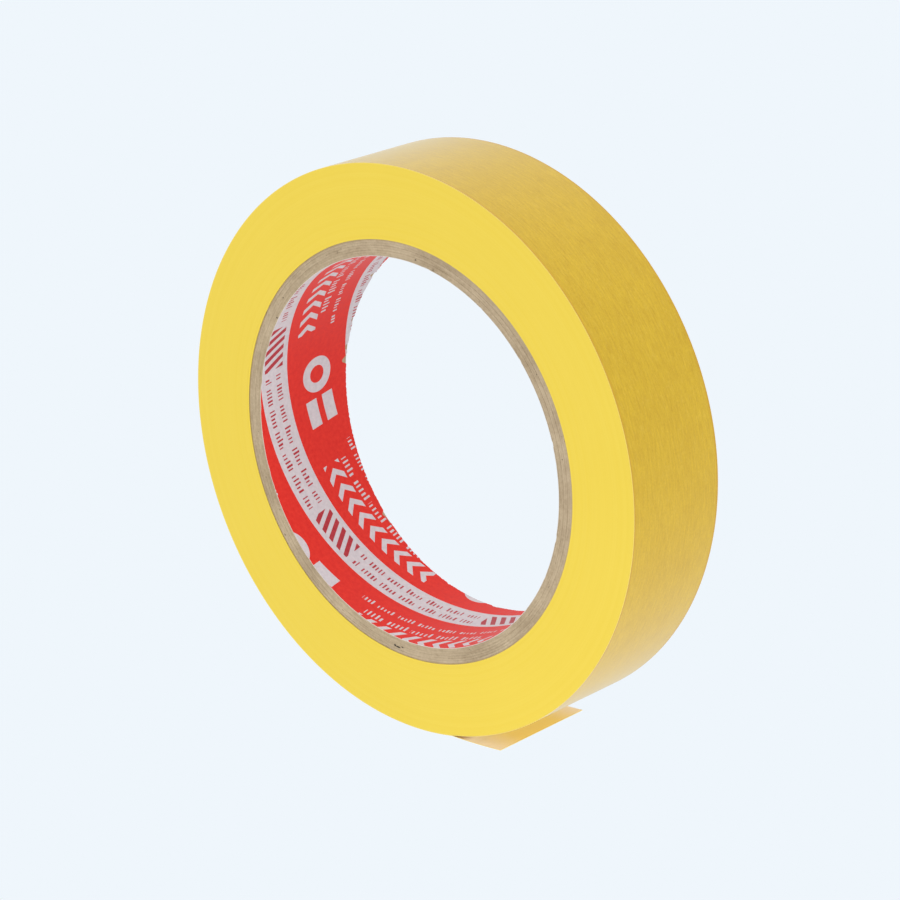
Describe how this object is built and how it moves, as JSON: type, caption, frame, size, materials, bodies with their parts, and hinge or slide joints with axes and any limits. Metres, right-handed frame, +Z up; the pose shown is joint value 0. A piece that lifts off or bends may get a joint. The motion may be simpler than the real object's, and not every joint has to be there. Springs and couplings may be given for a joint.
{
  "type": "masking tape roll",
  "caption": "Roll of thin yellow paper masking tape on a spiral-wound board core with a printed liner, its loose end lifted off the roll.",
  "frame": {"origin": "on the roll's axis, halfway across its width, which is the centre of its box", "axes": "+Y along the roll's axis, from the face with the printed core in view to the far face; +Z up with the roll standing on its rim; the loose end lies at the bottom and points to +X"},
  "size_m": [0.1112, 0.024, 0.1113],
  "materials": {
    "tape_backing": "satin, fine fibres along the tape",
    "tape_edge": "smooth slit edge of the wound turns",
    "tape_adhesive": "dull tacky adhesive side",
    "core_board": "raw cut board",
    "core_wrap": "kraft paper",
    "core_liner": "printed coated paper, red and pale grey bands"
  },
  "bodies": {
    "roll": {"core_liner_ply": "core_liner", "core_board_ply_1": "core_board", "core_board_ply_2": "core_board", "core_board_ply_3": "core_board", "core_board_ply_4": "core_board", "core_board_ply_5": "core_board", "core_board_ply_6": "core_board", "core_wrap_ply": "core_wrap", "tape_pack": "tape_edge", "outer_turn": "tape_backing"},
    "peel_strip_1": {"peel_strip_1": "tape_backing"},
    "peel_strip_2": {"peel_strip_2": "tape_backing"},
    "peel_strip_3": {"peel_strip_3": "tape_backing"},
    "peel_strip_4": {"peel_strip_4": "tape_backing"},
    "peel_strip_5": {"peel_strip_5": "tape_backing"},
    "peel_strip_6": {"peel_strip_6": "tape_backing"},
    "peel_strip_7": {"peel_strip_7": "tape_backing"},
    "peel_strip_8": {"peel_strip_8": "tape_backing"},
    "peel_strip_9": {"peel_strip_9": "tape_backing"},
    "tab_1": {"tab_1": "tape_backing"},
    "tab_2": {"tab_2": "tape_backing"},
    "tab_3": {"tab_3": "tape_backing"}
  },
  "joints": [
    {"name": "strip_peel", "type": "hinge", "parent": "roll", "child": "peel_strip_1", "pos_m": [-0.05536, 0, -0.00523], "axis": [0, 1, 0], "range_deg": [0, 20]},
    {"name": "strip_bend_2", "type": "hinge", "parent": "peel_strip_1", "child": "peel_strip_2", "pos_m": [-0.0534, 0, -0.01551], "axis": [0, 1, 0], "range_deg": [0, 20]},
    {"name": "strip_bend_3", "type": "hinge", "parent": "peel_strip_2", "child": "peel_strip_3", "pos_m": [-0.04955, 0, -0.02525], "axis": [0, 1, 0], "range_deg": [0, 20]},
    {"name": "strip_bend_4", "type": "hinge", "parent": "peel_strip_3", "child": "peel_strip_4", "pos_m": [-0.04395, 0, -0.03409], "axis": [0, 1, 0], "range_deg": [0, 20]},
    {"name": "strip_bend_5", "type": "hinge", "parent": "peel_strip_4", "child": "peel_strip_5", "pos_m": [-0.03678, 0, -0.04172], "axis": [0, 1, 0], "range_deg": [0, 20]},
    {"name": "strip_bend_6", "type": "hinge", "parent": "peel_strip_5", "child": "peel_strip_6", "pos_m": [-0.02832, 0, -0.04788], "axis": [0, 1, 0], "range_deg": [0, 20]},
    {"name": "strip_bend_7", "type": "hinge", "parent": "peel_strip_6", "child": "peel_strip_7", "pos_m": [-0.01884, 0, -0.05234], "axis": [0, 1, 0], "range_deg": [0, 20]},
    {"name": "strip_bend_8", "type": "hinge", "parent": "peel_strip_7", "child": "peel_strip_8", "pos_m": [-0.0087, 0, -0.05495], "axis": [0, 1, 0], "range_deg": [0, 20]},
    {"name": "strip_bend_9", "type": "hinge", "parent": "peel_strip_8", "child": "peel_strip_9", "pos_m": [0.00175, 0, -0.05561], "axis": [0, 1, 0], "range_deg": [0, 20]},
    {"name": "tab_lift", "type": "hinge", "parent": "peel_strip_9", "child": "tab_1", "pos_m": [0.01214, 0, -0.0543], "axis": [0, 1, 0], "range_deg": [-9, 60]},
    {"name": "tab_bend_2", "type": "hinge", "parent": "tab_1", "child": "tab_2", "pos_m": [0.01627, 0, -0.05411], "axis": [0, 1, 0], "range_deg": [-4.5, 30]},
    {"name": "tab_bend_3", "type": "hinge", "parent": "tab_2", "child": "tab_3", "pos_m": [0.02039, 0, -0.0538], "axis": [0, 1, 0], "range_deg": [-4.5, 30]}
  ],
  "couplings": [
    {"joint": "strip_bend_2", "follows": "strip_peel", "ratio": 1},
    {"joint": "strip_bend_3", "follows": "strip_peel", "ratio": 1},
    {"joint": "strip_bend_4", "follows": "strip_peel", "ratio": 1},
    {"joint": "strip_bend_5", "follows": "strip_peel", "ratio": 1},
    {"joint": "strip_bend_6", "follows": "strip_peel", "ratio": 1},
    {"joint": "strip_bend_7", "follows": "strip_peel", "ratio": 1},
    {"joint": "strip_bend_8", "follows": "strip_peel", "ratio": 1},
    {"joint": "strip_bend_9", "follows": "strip_peel", "ratio": 1},
    {"joint": "tab_bend_2", "follows": "tab_lift", "ratio": 0.5},
    {"joint": "tab_bend_3", "follows": "tab_lift", "ratio": 0.5}
  ]
}
